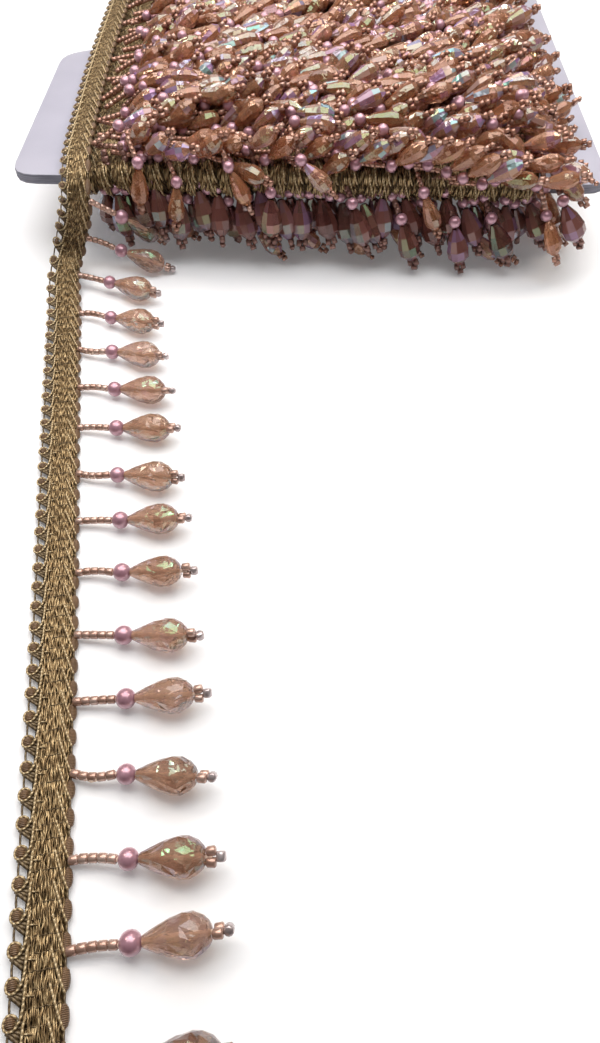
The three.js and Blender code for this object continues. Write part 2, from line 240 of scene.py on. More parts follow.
def skin_faces(runs, stations, corners):
    """Quads over runs of rings, and the caps at the two ends of each run."""
    run, station, corner = np.meshgrid(
        np.arange(runs), np.arange(stations - 1), np.arange(corners), indexing="ij")
    base = run * stations * corners
    here = base + station * corners + corner
    beside = base + station * corners + (corner + 1) % corners
    quads = np.stack([here, beside, beside + corners, here + corners], axis=-1).reshape(-1, 4)
    start = np.arange(runs)[:, None] * stations * corners
    first = (start + np.arange(corners)[::-1]).tolist()
    last = (start + (stations - 1) * corners + np.arange(corners)).tolist()
    return quads.tolist() + first + last


def lay_out(mesh, runs, stations, corners, lengths, rounds):
    """UV map of rings in mm: how far along each run, and how far round or across."""
    u = np.broadcast_to(lengths, (runs, stations))
    u0 = np.repeat(u[:, :-1, None], corners, axis=2)
    u1 = np.repeat(u[:, 1:, None], corners, axis=2)
    v0 = np.broadcast_to(rounds[:-1], u0.shape)
    v1 = np.broadcast_to(rounds[1:], u0.shape)
    skin = np.stack([u0, v0, u0, v1, u1, v1, u1, v0], axis=-1).reshape(-1)
    caps = np.zeros(2 * runs * corners * 2)
    layer = mesh.uv_layers.new(name="along")
    layer.data.foreach_set("uv", np.concatenate([skin, caps]).astype(np.float32))


def turn_x(turn, y):
    """Place of a turn across the card. The first turns fan out towards the back."""
    even = TURN_FIRST + (TURN_LAST - TURN_FIRST) * turn / (TURNS - 1)
    return even + FAN_SHIFT * max(0, 1 - turn / FAN_TURNS) * (y - FAN_FROM) / FAN_DEPTH


def wound_route(turn):
    """Route of one turn: over the card from the back, round the front edge and back under it."""
    turned = np.linspace(TURN_START, 2 * math.pi + TURN_START, ROUTE_POINTS)
    power = 2 / TURN_SQUARENESS
    flat, tall = np.cos(turned), np.sin(turned)
    sunk = FIRST_SINK * max(0, 1 - turn / SUNK_TURNS)
    rise = np.where(tall > 0, TURN_RISE - sunk, TURN_SAG)
    sway = TURN_WOBBLE * np.sin(turned * WOBBLES + WOBBLE_SHIFT * turn)
    depth = TURN_HALF_DEPTH * np.sign(flat) * np.abs(flat) ** power
    height = TURN_MIDDLE + rise * np.sign(tall) * np.abs(tall) ** power
    points = np.stack([turn_x(turn, depth) + sway, depth, height], axis=1)
    return braid_route(evened(points, EVEN_POINTS), np.full(EVEN_POINTS, TURN_BANK))


def ribbon_section(half):
    """Corners of the braid's ground, crowned on its face and flat on its back."""
    across = np.linspace(half, -half, 7)
    up = RIBBON_CROWN * (1 - (across / (half * CROWN_REACH)) ** 2)
    return np.append(across, [-half, half]), np.append(up, [RIBBON_BACK, RIBBON_BACK])


def maths(nodes, links, operation, *values):
    """Result of an operation on sockets and plain numbers."""
    step = nodes.new("ShaderNodeMath")
    step.operation = operation
    for socket, value in zip(step.inputs, values):
        if isinstance(value, float):
            socket.default_value = value
        else:
            links.new(value, socket)
    return step.outputs["Value"]


def twist_group():
    """Crown of a twisted thread's plies, high on its crowns and low where the plies meet. It drives a bump,
    and the painted highlight and shade of the gold finishes.
    """
    group = bpy.data.node_groups.new("thread_ply", "ShaderNodeTree")
    nodes, links, face = group.nodes, group.links, group.interface
    face.new_socket("Along and Round", in_out="INPUT", socket_type="NodeSocketVector")
    face.new_socket("Plies per mm", in_out="INPUT", socket_type="NodeSocketFloat")
    face.new_socket("Crown", in_out="OUTPUT", socket_type="NodeSocketFloat")
    entry, leave = nodes.new("NodeGroupInput"), nodes.new("NodeGroupOutput")
    split = nodes.new("ShaderNodeSeparateXYZ")
    links.new(entry.outputs["Along and Round"], split.inputs["Vector"])
    turn = maths(nodes, links, "MULTIPLY_ADD",
                 split.outputs["X"], entry.outputs["Plies per mm"], split.outputs["Y"])
    crown = nodes.new("ShaderNodeMapRange")
    crown.interpolation_type = "SMOOTHSTEP"
    crown.inputs["From Max"].default_value = HALF_PLY
    links.new(maths(nodes, links, "PINGPONG", turn, HALF_PLY), crown.inputs["Value"])
    links.new(crown.outputs["Result"], leave.inputs["Crown"])
    return group


PLY = twist_group()


def gold_finish(name, tones, plies, depth, lustre=0.6):
    """Gold metal thread: plies along the yarn with a painted highlight on their crowns and painted shade
    where they meet, and uneven tarnish. Tones go from dark to light.
    """
    finish = new_finish(name, {"Metallic": lustre, "Roughness": 0.42})
    nodes, links, _ = parts_of(finish)
    along = nodes.new("ShaderNodeUVMap")
    along.uv_map = "along"
    ply = nodes.new("ShaderNodeGroup")
    ply.node_tree = PLY
    ply.inputs["Plies per mm"].default_value = plies
    links.new(along.outputs["UV"], ply.inputs["Along and Round"])
    tarnish = maths(nodes, links, "MULTIPLY", noise_of(finish, TARNISH_SCALE, 3), TARNISH_SHARE)
    # Painted highlight on the ply crowns and painted shade between them, mixed with real uneven tarnish.
    ply_shade_and_tarnish = maths(nodes, links, "MULTIPLY_ADD", ply.outputs["Crown"], PLY_PAINTED_SHADE_SHARE, tarnish)
    tint(finish, ply_shade_and_tarnish, list(zip((0.12, 0.5, 0.88), tones)))
    bump_of(finish, ply.outputs["Crown"], depth)
    return finish


ground = gold_finish("braid_ground", (GROUND_DARK, GOLD_DARK, GROUND_LIGHT), plies=0.7, depth=0.0004)


def ribbon(name, routes, stations, half, middle=0.0, crown=1.0):
    """Ground of the braid along some routes, as closed ribbons in one piece."""
    across, up = ribbon_section(half)
    size = (stations, len(across))
    spans = np.array([np.linspace(0, route[0][-1], stations) for route in routes])
    rings = np.array([
        on_braid(route, span[:, None], across[None, :] + middle, np.broadcast_to(up * crown, size))
        for route, span in zip(routes, spans)
    ])
    mesh = mesh_of(name, rings, skin_faces(len(routes), *size))
    lay_out(mesh, len(routes), *size, spans, np.linspace(0, RIBBON_ROUND, len(across) + 1))
    return placed(name, mesh, ground)


wound_routes = [wound_route(turn) for turn in range(TURNS)]
wound_turns = ribbon("wound_turns", wound_routes, TURN_STATIONS, RIBBON_HALF)
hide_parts("wound_trim")


# Yarns of the wound braid. Flat metal strands run along its middle and dip where it is bound.
# Gimp yarns leave the middle on both sides, and those at the left curl back at that edge.
PICOT_PITCH = 5.0
STRAND_FROM, STRAND_TO = -1.9, 3.6
STRAND_UP, STRAND_CROWN = 0.8, 4.8
STRAND_SECTION = (0.21, 0.13)
WIDE_SWAY, WIDE_SWAY_LENGTH = 0.12, 5.3
SHORT_SWAY, SHORT_SWAY_LENGTH = 0.08, 2.1
STRAND_WAVE = 0.11
TWIST_LENGTHS = (6, 11)
TIE_PITCH = PICOT_PITCH / 2
TIE_DIP, TIE_DIP_REACH = 0.16, 0.42
LEFT_HOOK = np.array([
    (-5.4, -1.6, 0.4), (-4.4, -1.8, 0.88), (-3.0, -1.85, 1.02), (-1.6, -1.95, 1.0), (-0.5, -2.2, 0.9),
    (0.35, -2.65, 0.75), (0.95, -3.25, 0.6), (1.18, -3.95, 0.5), (0.95, -4.65, 0.4), (0.3, -5.0, 0.34),
    (-0.45, -4.95, 0.32), (-1.0, -4.5, 0.32), (-1.1, -3.8, 0.34), (-0.8, -3.2, 0.3), (-0.3, -2.9, 0.1),
])
RIGHT_HOOK = np.array([
    (-5.2, 1.8, 0.5), (-4.2, 2.2, 0.95), (-2.8, 2.65, 1.0), (-1.4, 3.1, 0.93), (0, 3.55, 0.76),
    (1.1, 3.95, 0.5), (1.9, 4.2, 0.1),
])
RIGHT_SHIFT = 0.3
HOOK_SECTION = (0.23, 0.23)
WOUND_STRANDS = 10
WOUND_STRAND_STEP = 1.3
WOUND_THICKER = 1.8
WOUND_HOOKS_IN = 8
WOUND_HOOK_STATIONS = 14
NOSE_FROM, NOSE_TO = 182, 232
BARE_TURNS = 3
BARE_FROM = 2
GIMP_LIGHT = (0.66, 0.52, 0.32, 1)
GIMP_MID = (0.44, 0.32, 0.17, 1)
SIDE_GUIDE = np.array([0.31, 0.17, 0.93])


def smooth_run(points, per_span):
    """Even curve through points, as a bent yarn takes it."""
    ends = np.vstack([2 * points[0] - points[1], points, 2 * points[-1] - points[-2]])
    t = np.linspace(0, 1, per_span, endpoint=False)[:, None]
    spans = []
    for a, b, c, d in zip(ends, ends[1:], ends[2:], ends[3:]):
        lead, trail = (c - a) / 2, (d - b) / 2
        spans.append(b + lead * t + (3 * (c - b) - 2 * lead - trail) * t ** 2
                     + (2 * (b - c) + lead + trail) * t ** 3)
    return np.vstack([*spans, points[-1:]])


def bent(points, count):
    """Stations at even distances along the curve through points."""
    return evened(smooth_run(points, 8), count)


def tubes(lines, section, corners, twist, taper):
    """Rings of tubes round lines of shape (runs, stations, 3). Twist turns the oval section."""
    along = unit(np.gradient(lines, axis=1))
    side = unit(np.cross(along, SIDE_GUIDE))
    top = np.cross(side, along)
    turn = np.linspace(0, 2 * math.pi, corners, endpoint=False)
    a, b = section[0] * np.cos(turn), section[1] * np.sin(turn)
    swing, size = np.asarray(twist)[..., None], np.asarray(taper)[..., None]
    across = (a * np.cos(swing) - b * np.sin(swing)) * size
    rise = (a * np.sin(swing) + b * np.cos(swing)) * size
    return lines[:, :, None] + side[:, :, None] * across[..., None] + top[:, :, None] * rise[..., None]


def tube_piece(name, lines, section, corners, finish, twist=0.0, taper=1.0):
    rings = tubes(lines, section, corners, twist, taper)
    runs, stations = lines.shape[:2]
    mesh = mesh_of(name, rings, skin_faces(runs, stations, corners))
    steps = np.linalg.norm(np.diff(lines, axis=1), axis=2)
    lengths = np.concatenate([np.zeros((runs, 1)), np.cumsum(steps, axis=1)], axis=1)
    lay_out(mesh, runs, stations, corners, lengths, np.linspace(0, 1, corners + 1))
    return placed(name, mesh, finish)


def strand_crown(across):
    """Height of the strands over the braid's middle, which is crowned."""
    return STRAND_UP * (1 - ((across - (STRAND_FROM + STRAND_TO) / 2) / STRAND_CROWN) ** 2)


def strand_lines(route, start, end, step, count):
    """Lines of the middle strands between two distances, and the twist of each along its length."""
    random = np.random.default_rng(count)
    along = np.arange(start, end, step)[None, :]
    slots = np.linspace(STRAND_FROM, STRAND_TO, count)[:, None]
    phase = random.uniform(0, 2 * math.pi, (4, count, 1))
    turned = 2 * math.pi * along
    across = (slots + WIDE_SWAY * np.sin(turned / WIDE_SWAY_LENGTH + phase[0])
              + SHORT_SWAY * np.sin(turned / SHORT_SWAY_LENGTH + phase[1]))
    from_tie = (along + TIE_PITCH / 2) % TIE_PITCH - TIE_PITCH / 2
    dip = TIE_DIP * np.exp(-(from_tie / TIE_DIP_REACH) ** 2)
    up = strand_crown(slots) - dip + STRAND_WAVE * np.sin(turned / PICOT_PITCH + phase[2])
    lines = on_braid(route, np.broadcast_to(along, across.shape), across, up)
    return lines, turned / random.uniform(*TWIST_LENGTHS, (count, 1)) + phase[3]


def side_lines(route, places, shape):
    """Lines of one yarn, given as (along, across, up), laid at each place along the braid."""
    size = (len(places), len(shape))
    return on_braid(route, places[:, None] + shape[None, :, 0],
                    np.broadcast_to(shape[:, 1], size), np.broadcast_to(shape[:, 2], size))


def hook_lines(route, start, end, count):
    """Lines of the side yarns that end at each picot between two distances."""
    places = np.arange(start, end, PICOT_PITCH)
    return np.concatenate([
        side_lines(route, places, bent(LEFT_HOOK, count)),
        side_lines(route, places + RIGHT_SHIFT, bent(RIGHT_HOOK, count)),
    ])


yarn = gold_finish("gold_yarn", (GOLD_DARK, GOLD_MID, GOLD_LIGHT), plies=0.45, depth=0.00008)
gimp = gold_finish("pale_gimp", (GOLD_MID, GIMP_MID, GIMP_LIGHT), plies=1.3, depth=0.0001, lustre=0.35)


def yarned(name, routes, start, end):
    """Strands and side yarns of a stretch of wound turns."""
    runs = [strand_lines(route, start, end, WOUND_STRAND_STEP, WOUND_STRANDS) for route in routes]
    strands, twists = (np.concatenate(part) for part in zip(*runs))
    hooks = np.concatenate([
        hook_lines(route, start + WOUND_HOOKS_IN, end, WOUND_HOOK_STATIONS) for route in routes])
    section = tuple(WOUND_THICKER * side for side in STRAND_SECTION)
    tube_piece(f"{name}_strands", strands, section, 4, yarn, twists)
    tube_piece(f"{name}_side_yarns", hooks, HOOK_SECTION, 4, gimp)


yarned("front", wound_routes, NOSE_FROM, NOSE_TO)
yarned("left", wound_routes[:BARE_TURNS], BARE_FROM, NOSE_FROM)


# Beads of the drops on the roll. Each kind is modelled once, along +Z: a cut glass teardrop with a
# rainbow coat on one side, a round pearl, and a tube-shaped seed bead lined with copper.
ROLL_SIZE = 0.88
CRYSTAL_LENGTH = 11.6
CRYSTAL_SIDES = 10
CRYSTAL_RINGS = [(0, 0.9), (2.6, 2.0), (7.4, 3.0), (9.8, 2.5), (CRYSTAL_LENGTH, 1.0)]
PEARL_RADIUS = 2.0
PEARL_SQUASH = 0.96
SEED_RADIUS = 0.87
SEED_LENGTH = 1.66
SEED_ROUND = 0.2
RIM_ANGLE = math.radians(70)
FILMS = {"copper": 225.0, "violet": 385.0, "green": 440.0}
FILM_SHARES = (0.52, 0.4, 0.08)
COATED_SIDE = 0.1
CUT_SCALE = 480.0
MOTTLE_SCALE = 500
PILE_TONES = [
    (0.0, (0.38, 0.13, 0.055, 1)), (0.3, (0.54, 0.225, 0.11, 1)), (0.55, (0.68, 0.35, 0.20, 1)),
    (0.68, (0.60, 0.285, 0.185, 1)), (0.73, (0.58, 0.29, 0.48, 1)), (0.78, (0.88, 0.60, 0.39, 1)),
    (0.87, (0.62, 0.33, 0.70, 1)), (0.95, (0.48, 0.76, 0.74, 1)),
]
PEARL_TONES = [(0.3, (0.42, 0.205, 0.255, 1)), (0.7, (0.54, 0.305, 0.365, 1))]
COPPER_TONES = [(0.0, (0.33, 0.15, 0.10, 1)), (0.6, (0.44, 0.235, 0.17, 1)), (1.0, (0.58, 0.38, 0.31, 1))]


def shaped_bead(smooth):
    """Takes the bead just modelled off the scene, and keeps its corners and faces for copies."""
    bead = bpy.context.view_layer.objects.active
    bpy.ops.object.transform_apply(location=True, rotation=True, scale=True)
    corners = np.array([corner.co for corner in bead.data.vertices]) / MM
    faces = [list(face.vertices) for face in bead.data.polygons]
    bpy.data.objects.remove(bead)
    return corners, faces, smooth


def cut_crystal(rings, sides, size=1.0, turned=()):
    """Facets are the flats between rings of corners. A turned ring stands half a facet round."""
    for number, (along, radius) in enumerate(rings):
        bpy.ops.mesh.primitive_circle_add(
            vertices=sides, radius=radius * size * MM, location=(0, 0, along * size * MM),
            rotation=(0, 0, math.pi / sides if number in turned else 0))
        if number == 0:
            bpy.ops.object.mode_set(mode="EDIT")
    bpy.ops.mesh.select_all(action="SELECT")
    bpy.ops.mesh.convex_hull()
    bpy.ops.mesh.normals_make_consistent(inside=False)
    bpy.ops.object.mode_set(mode="OBJECT")
    return shaped_bead(smooth=False)


def round_pearl(segments, rings, size=1.0):
    bpy.ops.mesh.primitive_uv_sphere_add(segments=segments, ring_count=rings, radius=PEARL_RADIUS * MM)
    bpy.ops.object.mode_set(mode="EDIT")
    bpy.ops.mesh.select_all(action="SELECT")
    bpy.ops.transform.resize(value=(size, size, size * PEARL_SQUASH))
    bpy.ops.object.mode_set(mode="OBJECT")
    return shaped_bead(smooth=True)


def tube_seed(sides, rim_steps=0, size=1.0):
    bpy.ops.mesh.primitive_cylinder_add(
        vertices=sides, radius=SEED_RADIUS * size * MM, depth=SEED_LENGTH * size * MM)
    if rim_steps:
        seed = bpy.context.view_layer.objects.active
        rounding = seed.modifiers.new("rounded rim", "BEVEL")
        rounding.width = SEED_ROUND * MM
        rounding.segments = rim_steps
        rounding.limit_method = "ANGLE"
        rounding.angle_limit = RIM_ANGLE
        bpy.ops.object.modifier_apply(modifier=rounding.name)
    return shaped_bead(smooth=True)


def facet_tint(finish, tones):
    """Colours each facet or bead by its own tone."""
    facet = finish.node_tree.nodes.new("ShaderNodeAttribute")
    facet.attribute_name = "facet_tone"
    tint(finish, facet.outputs["Fac"], tones)


def glass_finishes(name, tones, clear, lustre, polish, ripple=0.0):
    """Champagne glass, bare and with each of the rainbow films that cover one side of a crystal."""
    made = []
    for film, thickness in {"bare": 0.0, **FILMS}.items():
        finish = new_finish(f"{name}_{film}", {
            "Roughness": polish, "IOR": 1.54, "Transmission Weight": clear, "Metallic": lustre,
            "Coat Weight": 0.15, "Coat Roughness": 0.05,
            "Thin Film Thickness": thickness, "Thin Film IOR": 1.75,
        })
        facet_tint(finish, tones)
        if ripple:
            nodes, links, _ = parts_of(finish)
            cuts = nodes.new("ShaderNodeTexVoronoi")
            cuts.distance = "CHEBYCHEV"
            cuts.inputs["Scale"].default_value = CUT_SCALE
            links.new(object_place(nodes), cuts.inputs["Vector"])
            bump_of(finish, cuts.outputs["Distance"], ripple / CUT_SCALE)
        made.append(finish)
    return made


def seed_finish(name, tones, polish, lustre, coat, coat_polish):
    """Lined seed beads, whose tone differs a little from bead to bead."""
    finish = new_finish(name, {
        "Roughness": polish, "Metallic": lustre, "Coat Weight": coat, "Coat Roughness": coat_polish})
    facet_tint(finish, tones)
    return finish


pile_beads = (
    cut_crystal(CRYSTAL_RINGS, CRYSTAL_SIDES, ROLL_SIZE),
    round_pearl(segments=7, rings=6, size=ROLL_SIZE),
    tube_seed(sides=5, size=ROLL_SIZE),
)
pile_glass = glass_finishes("piled_crystal", PILE_TONES, clear=0.62, lustre=0.08, polish=0.07, ripple=0.13)
copper_seed = seed_finish("copper_seed", COPPER_TONES, polish=0.26, lustre=0.5, coat=0.25, coat_polish=0.08)
pearl_finish = new_finish("lilac_pearl", {
    "Roughness": 0.28, "Metallic": 0.35, "Coat Weight": 0.8, "Coat Roughness": 0.12})
tint(pearl_finish, noise_of(pearl_finish, MOTTLE_SCALE, 3), PEARL_TONES)


# Drops of the wound turns. Each drop is strung from the braid's edge: five seed beads, a pearl,
# a crystal and a stopper of three seed beads. They fall on the turns to their right, layer on layer.
STEM_BEADS = 5
PEARL_AT = 10.6
CRYSTAL_FROM = 2.0
STOPPER = [(0.83, 0.88, 6.0), (0.83, -0.88, -6.0)]
STOPPER_END = 2.5
SIZE_SPREAD = (0.96, 1.03)
UPRIGHT = 0.9
CELL = 0.6
HEAP_LOW = np.array([-110.0, -150.0])
HEAP_CELLS = (360, 500)
SINK = 0.45
PILE_CEILING = (34.5, 41.0)
CEILING_FROM, CEILING_TO = -68.0, -38.0
FELT_AT = (1.6, 4.4, 7.4)
FELT_MIDDLE, FELT_SPAN = 0.48, 5.8
PEARL_TO_FELT = 3.6
NARROW_BELOW = 1.5
STEEPEST = 0.8
PEARL_DOWN, PEARL_UP = 0.85, 0.8
HELD_UP = 0.5
SWING_LENGTH, SWING_MOST = 14, 0.85
STAMP_FROM, STAMP_STEP = 0.6, 0.9
STEM_STAMPS = (0.2, 0.45, 0.7)
BRAID_FACE = 1.9
TURNS_LEFT, TURNS_RIGHT, TURNS_FRONT = 4, 5, 4
TABLE_GAP = 1.3
EDGE_OUT = 4.2
ROOT_UP = 0.6
TOP_FRONT, TOP_BACK = (-102.5, -108.0), 104
TOP_FRONT_X = (-40, 40)
TOP_SPACING = 8.0
TOP_JITTER = 2.2
UNDER_ROOT = 17.5
UNDER_SPACING = 8.0
UNDER_SPREAD = 35
UNDER_INSIDE_X, UNDER_INSIDE_Y = (-52.0, 44.0), 66.0
INWARD_FROM, INWARD_OVER = 92, 34
RIGHT_FROM, RIGHT_OVER, RIGHT_LEAST = 66, 26, 0.15
INWARD_TURN, OUTWARD_TURN, TURN_SPREAD = 36, 4, 22
FRONT_FALL = -99.0
FRONT_TURNS = (-26, -2)
DROP_REACH = 24.3
RIGHT_LIMIT = [(-110, 82.0), (-60, 80.0), (20, 77.0)]
LIMIT_SPREAD = 0.1
UPPER_DROPS = 340
UPPER_SUNK = 6.0
UPPER_BELOW = 2
UPPER_FROM, UPPER_TO = (-58, -104), (54, 96)
Z_AXIS = np.array([0.0, 0.0, 1.0])


def bead_piece(name, bead, places, finishes, seed):
    """Copies of one bead, joined in one mesh, with an uneven tone for each facet."""
    corners, faces, smooth = bead
    random = np.random.default_rng(seed)
    centres, axes = zip(*places)
    centres, axes = np.array(centres), unit(np.array(axes))
    count = len(centres)
    aside = np.where(np.abs(axes[:, 2:]) > UPRIGHT, X_AXIS, Z_AXIS)
    first = unit(np.cross(aside, axes))
    second = np.cross(axes, first)
    roll = random.uniform(0, 2 * math.pi, count)[:, None]
    left = first * np.cos(roll) + second * np.sin(roll)
    right = np.cross(axes, left)
    size = random.uniform(*SIZE_SPREAD, count)[:, None, None]
    basis = np.stack([left, right, axes], axis=1)
    points = centres[:, None] + np.einsum("vk,nkj->nvj", corners, basis) * size
    shifts = len(corners) * np.arange(count)
    all_faces = [[corner + shift for corner in face] for shift in shifts.tolist() for face in faces]
    mesh = mesh_of(name, points, all_faces, smooth)
    facet_tones = random.random((count, len(faces)))
    bead_tones = random.random((count, 1))
    values = (0.5 * facet_tones + 0.5 * bead_tones).astype(np.float32).reshape(-1)
    mesh.attributes.new("facet_tone", "FLOAT", "FACE").data.foreach_set("value", values)
    piece = placed(name, mesh, finishes[0])
    if len(finishes) > 1:
        for film in finishes[1:]:
            mesh.materials.append(film)
        middles = np.array([corners[face].mean(axis=0) for face in faces])
        way = np.arctan2(middles[:, 1], middles[:, 0])
        coated = np.cos(way[None, :] - random.uniform(0, 2 * math.pi, (count, 1))) > COATED_SIDE
        film = random.choice(np.arange(1, len(finishes)), size=(count, 1), p=FILM_SHARES)
        slots = np.where(coated, film, 0).astype(np.int32).reshape(-1)
        mesh.polygons.foreach_set("material_index", slots)
    return piece


class Strung:
    """Places of all the beads of a group of drops."""

    def __init__(self, seed, size=1.0):
        self.random = np.random.default_rng(seed)
        self.size = size
        self.crystals, self.pearls, self.stems = [], [], []
        self.stoppers, self.ends, self.threads = [], [], []

    def add(self, root, pearl, aim, slack=0.5):
        """Strings one drop from its root to the middle of its pearl, and on along aim."""
        stem = pearl - root
        stem_aim = stem / np.linalg.norm(stem)
        end = pearl - stem_aim * PEARL_RADIUS * self.size
        bow = np.array([-stem_aim[1], stem_aim[0], 0]) * self.random.uniform(-slack, slack) * 2
        middle = (root + end) / 2 + bow
        for bead in range(STEM_BEADS):
            t = (bead + 0.5) / STEM_BEADS
            spot = root * (1 - t) ** 2 + middle * 2 * t * (1 - t) + end * t ** 2
            way = (middle - root) * (1 - t) + (end - middle) * t
            self.stems.append((spot, way))
        self.pearls.append((pearl, aim))
        tip = pearl + aim * CRYSTAL_FROM * self.size
        self.crystals.append((tip, aim))
        last = tip + aim * CRYSTAL_LENGTH * self.size
        sideways = np.cross(aim, self.random.normal(size=3))
        sideways = sideways / np.linalg.norm(sideways)
        for along, aside, lean in STOPPER:
            turn = math.radians(lean)
            self.stoppers.append((last + (aim * along + sideways * aside) * self.size,
                                  aim * math.cos(turn) + sideways * math.sin(turn)))
        self.ends.append((last + aim * STOPPER_END * self.size, sideways))
        self.threads.append(np.array([root, middle, end, pearl, tip, last + aim]))

    def pieces(self, prefix, beads, finishes, homes, seed):
        """Joined pieces of every kind of bead. Homes gives each kind a slot, which is not used, and the
        nodes it replaces.
        """
        crystal, pearl, seed_bead = beads
        glass, lined, last_lined = finishes
        groups = [
            ("crystals", crystal, self.crystals, glass, homes["crystal"]),
            ("pearls", pearl, self.pearls, [pearl_finish], homes["pearl"]),
            ("stems", seed_bead, self.stems, [lined], homes["stem"]),
            ("stoppers", seed_bead, self.stoppers, [lined], homes["crystal"]),
            ("stopper_ends", seed_bead, self.ends, [last_lined], homes["crystal"]),
        ]
        for number, (kind, bead, places, finish, (slot, nodes_replaced)) in enumerate(groups):
            piece = bead_piece(f"{prefix}_{kind}", bead, places, finish, seed + number)
            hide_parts(*nodes_replaced)


def disc(radius):
    """Cells under a ball, and how far its underside stands below its middle there."""
    reach = int(radius / CELL) + 1
    steps = np.arange(-reach, reach + 1)
    gap = (steps[:, None] ** 2 + steps[None, :] ** 2) * CELL ** 2
    dip = np.where(gap <= radius ** 2, np.sqrt(np.maximum(radius ** 2 - gap, 0)), -np.inf)
    return reach, dip


def window(heap, spot, reach):
    cell = np.round((np.asarray(spot[:2]) - HEAP_LOW) / CELL).astype(int)
    cell = np.clip(cell, reach, np.array(HEAP_CELLS) - reach - 1)
    return heap[cell[0] - reach:cell[0] + reach + 1, cell[1] - reach:cell[1] + reach + 1]


def resting(heap, spot, radius):
    """Height of a ball's middle when it rests on the heap, sunk a little into the gaps."""
    reach, dip = disc(radius)
    return float((window(heap, spot, reach) + dip).max()) - SINK * radius


def stamp(heap, spot, radius):
    """Raises the heap to the top of a ball that lies on it."""
    reach, dip = disc(radius)
    cells = window(heap, spot, reach)
    np.maximum(cells, spot[2] + dip, out=cells)


def crystal_radius(along):
    places, radii = zip(*CRYSTAL_RINGS)
    return float(np.interp(along, places, radii)) * ROLL_SIZE


def fall(heap, root, azimuth):
    """Lets a drop fall on the heap from its root: where its pearl ends up, and its crystal's aim."""
    level = np.array([math.cos(azimuth), math.sin(azimuth)])
    reach, pearl_radius = PEARL_AT * ROLL_SIZE, PEARL_RADIUS * ROLL_SIZE

    def need(distance, radius):
        spot = root[:2] + level * distance * ROLL_SIZE
        ceiling = float(np.interp(spot[0], (CEILING_FROM, CEILING_TO), PILE_CEILING))
        return min(resting(heap, spot, radius), ceiling)

    pearl_z = need(PEARL_AT, pearl_radius)
    narrow, middle, wide = (
        need(PEARL_AT + CRYSTAL_FROM + along, crystal_radius(along)) for along in FELT_AT)
    narrow = max(narrow, pearl_z - NARROW_BELOW)
    lack = middle - (narrow + (wide - narrow) * FELT_MIDDLE)
    if lack > 0:
        narrow, wide = narrow + lack, wide + lack
    slope = np.clip((wide - narrow) / (FELT_SPAN * ROLL_SIZE), -STEEPEST, STEEPEST)
    pearl_z = max(pearl_z, narrow - slope * PEARL_TO_FELT * ROLL_SIZE)
    drop = np.clip(pearl_z - root[2], -reach * PEARL_DOWN, reach * PEARL_UP)
    run = math.sqrt(reach ** 2 - drop ** 2)
    pearl = np.array([*(root[:2] + level * run), root[2] + drop])
    tilt = math.atan(slope)
    if pearl_z < root[2] + drop - HELD_UP:
        tilt = min(tilt, -math.asin(min((root[2] + drop - pearl_z) / SWING_LENGTH, SWING_MOST)))
    aim = np.array([*(level * math.cos(tilt)), math.sin(tilt)])
    for along in np.arange(STAMP_FROM, CRYSTAL_LENGTH, STAMP_STEP):
        stamp(heap, pearl + aim * (CRYSTAL_FROM + along) * ROLL_SIZE, crystal_radius(along))
    stamp(heap, pearl, pearl_radius)
    for share in STEM_STAMPS:
        stamp(heap, root + (pearl - root) * share, SEED_RADIUS * ROLL_SIZE)
    return pearl, aim


def braid_top(y):
    """Height of the turns' upper faces over a place along the card's depth."""
    share = np.clip(np.abs(y) / TURN_HALF_DEPTH, 0, 1)
    rise = TURN_RISE * (1 - share ** TURN_SQUARENESS) ** (1 / TURN_SQUARENESS)
    return TURN_MIDDLE + rise + BRAID_FACE


random = np.random.default_rng(11)
under_random = np.random.default_rng(12)
cells_x = HEAP_LOW[0] + CELL * np.arange(HEAP_CELLS[0])
cells_y = HEAP_LOW[1] + CELL * np.arange(HEAP_CELLS[1])
grid_x, grid_y = np.meshgrid(cells_x, cells_y, indexing="ij")
card_low, card_high = (np.array(corner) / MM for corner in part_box("card"))
on_card = (grid_x > card_low[0]) & (grid_x < card_high[0]) & (np.abs(grid_y) < card_high[1])
on_turns = ((grid_x > turn_x(0, grid_y) - TURNS_LEFT) & (grid_x < TURN_LAST + TURNS_RIGHT)
            & (np.abs(grid_y) < TURN_HALF_DEPTH + TURNS_FRONT))
top_heap = np.where(on_turns, braid_top(grid_y), np.where(on_card, card_high[2], 0.0))
under_heap = np.full(HEAP_CELLS, TABLE_GAP)
pile = Strung(21, ROLL_SIZE)


def pile_azimuth(x, y):
    """Way a drop lies on the roll: to the right, and further to the back where there is room."""
    inward = np.clip((y + INWARD_FROM) / INWARD_OVER, 0, 1)
    from_left = np.clip((x + RIGHT_FROM) / RIGHT_OVER, RIGHT_LEAST, 1)
    spread = random.uniform(-TURN_SPREAD, TURN_SPREAD)
    azimuth = math.radians((INWARD_TURN * inward - OUTWARD_TURN) * from_left + spread)
    if y < FRONT_FALL:
        azimuth = math.radians(random.uniform(*FRONT_TURNS))
    room = np.interp(y, *zip(*RIGHT_LIMIT)) - x
    if DROP_REACH * math.cos(azimuth) > room:
        turned = math.copysign(math.acos(room / DROP_REACH), azimuth)
        azimuth = turned + random.uniform(-LIMIT_SPREAD, LIMIT_SPREAD)
    return azimuth


